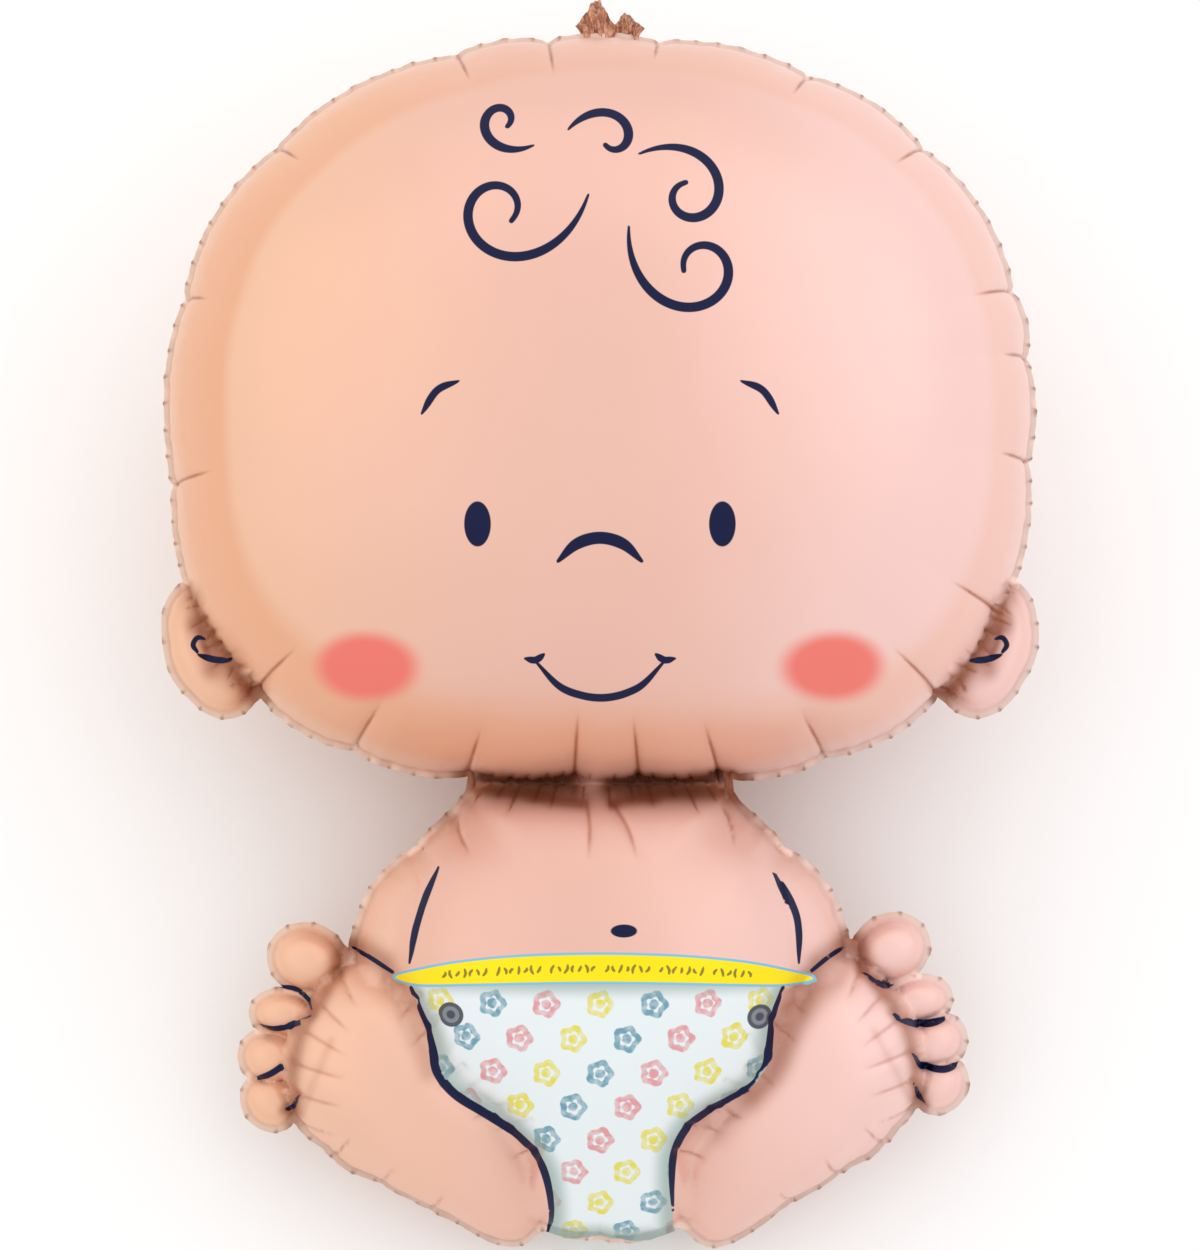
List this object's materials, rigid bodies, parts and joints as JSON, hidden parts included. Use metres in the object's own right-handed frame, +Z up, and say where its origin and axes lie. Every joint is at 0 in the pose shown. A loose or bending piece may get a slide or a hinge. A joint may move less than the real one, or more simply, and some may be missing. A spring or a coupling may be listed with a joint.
{
  "type": "baby shower balloon",
  "caption": "Inflated foil party balloon in the shape of a sitting baby in a diaper, lying on its back, with a welded seam round its rim and a filling tail at the crown.",
  "frame": {"origin": "centre of the bounding box's footprint, on the floor that the back of the balloon lies on", "axes": "+X to the viewer's right of the face, +Y from the heels towards the crown, +Z up from the floor, out of the face"},
  "size_m": [0.608, 0.8372, 0.3654],
  "materials": {
    "printed_foil": "printed metallised film, satin"
  },
  "bodies": {
    "root": {"balloon": "printed_foil"}
  },
  "joints": []
}
